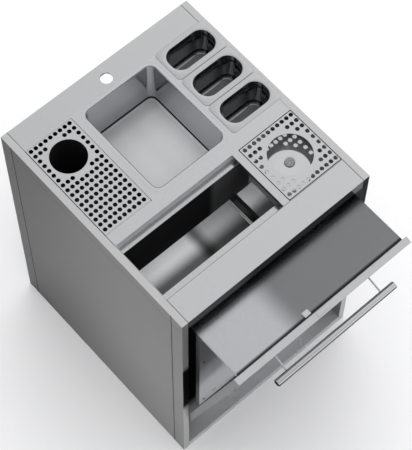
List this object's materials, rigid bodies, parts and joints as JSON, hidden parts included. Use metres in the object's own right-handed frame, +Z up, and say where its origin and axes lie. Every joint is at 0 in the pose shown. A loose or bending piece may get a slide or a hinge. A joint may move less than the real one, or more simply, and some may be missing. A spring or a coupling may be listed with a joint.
{
  "type": "bar sink with ice bin",
  "caption": "Steel bar station: sink bowl, ice bin, food pans, perforated drainer with waste chute, drip basin, and a tilt-out door with a folding shelf.",
  "frame": {"origin": "on the floor, at the middle of the cabinet's footprint, door and handle left out", "axes": "+X to the right seen from the front, +Y to the back, +Z up"},
  "size_m": [0.65, 0.9662, 0.926],
  "materials": {
    "brushed_sheet": "satin",
    "polished_steel": "polished",
    "plain_steel": "plain",
    "black_plastic": "matte",
    "insulation_foam": "rigid foam"
  },
  "bodies": {
    "cabinet": {"left_frame": "brushed_sheet", "left_panel": "brushed_sheet", "left_liner": "plain_steel", "right_frame": "brushed_sheet", "right_panel": "brushed_sheet", "right_liner": "plain_steel", "worktop": "brushed_sheet", "front_strip": "brushed_sheet", "tap_deck": "brushed_sheet", "worktop_rail": "plain_steel", "pan_rails": "plain_steel", "tap_plate": "plain_steel", "back_top_rail": "plain_steel", "back_mid_rail": "plain_steel", "base_pan": "brushed_sheet", "base_stiffener": "plain_steel", "service_panel": "brushed_sheet", "service_screws": "plain_steel", "sink_bowl": "polished_steel", "sink_waste": "plain_steel", "sink_trap": "black_plastic", "drain_header": "black_plastic", "drainer_tray": "brushed_sheet", "drainer_drain": "black_plastic", "waste_chute": "plain_steel", "drip_basin": "polished_steel", "drip_grate": "plain_steel", "drip_drain": "black_plastic", "ice_bin_liner": "polished_steel", "ice_bin_foam": "insulation_foam", "ice_bin_casing": "plain_steel", "trough_rail": "polished_steel", "ice_drain": "black_plastic", "pivot_pins": "plain_steel", "catch_magnet": "black_plastic", "stay_guide": "black_plastic"},
    "door": {"door_outer": "brushed_sheet", "door_inner": "brushed_sheet", "pivot_blocks": "black_plastic", "door_keeper": "polished_steel", "handle_bar": "polished_steel", "handle_caps": "polished_steel", "handle_posts": "polished_steel", "handle_screws": "plain_steel", "door_stay": "plain_steel", "door_hinge_leaves": "plain_steel", "hinge_rods": "polished_steel"},
    "shelf": {"shelf": "brushed_sheet", "shelf_hinge_leaves": "plain_steel", "shelf_lug": "polished_steel"},
    "pan_back": {"pan_back": "polished_steel"},
    "pan_middle": {"pan_middle": "polished_steel"},
    "pan_front": {"pan_front": "polished_steel"},
    "drainer_plate": {"drainer_plate": "brushed_sheet"},
    "drip_plate": {"drip_plate": "brushed_sheet", "drip_feet": "black_plastic"},
    "sink_strainer": {"sink_strainer": "polished_steel"},
    "waste_bin": {"waste_bin": "black_plastic"}
  },
  "joints": [
    {"name": "door_tilt", "type": "hinge", "parent": "cabinet", "child": "door", "pos_m": [0, -0.3525, 0.196], "axis": [1, 0, 0], "range_deg": [-16.05, 0]},
    {"name": "shelf_fold", "type": "hinge", "parent": "door", "child": "shelf", "pos_m": [0, -0.52318, 0.84896], "axis": [1, 0, 0], "range_deg": [-73.2, 0]},
    {"name": "pan_back_lift", "type": "slide", "parent": "cabinet", "child": "pan_back", "axis": [0, 0, 1], "range_m": [0, 0.12]},
    {"name": "pan_middle_lift", "type": "slide", "parent": "cabinet", "child": "pan_middle", "axis": [0, 0, 1], "range_m": [0, 0.12]},
    {"name": "pan_front_lift", "type": "slide", "parent": "cabinet", "child": "pan_front", "axis": [0, 0, 1], "range_m": [0, 0.12]},
    {"name": "drainer_plate_lift", "type": "slide", "parent": "cabinet", "child": "drainer_plate", "axis": [0, 0, 1], "range_m": [0, 0.05]},
    {"name": "drip_plate_lift", "type": "slide", "parent": "cabinet", "child": "drip_plate", "axis": [0, 0, 1], "range_m": [0, 0.07]},
    {"name": "sink_strainer_lift", "type": "slide", "parent": "cabinet", "child": "sink_strainer", "axis": [0, 0, 1], "range_m": [0, 0.21]},
    {"name": "waste_bin_pull", "type": "slide", "parent": "cabinet", "child": "waste_bin", "axis": [0, 1, 0], "range_m": [0, 0.3]}
  ],
  "couplings": [
    {"joint": "shelf_fold", "follows": "door_tilt", "ratio": 4.5483}
  ]
}
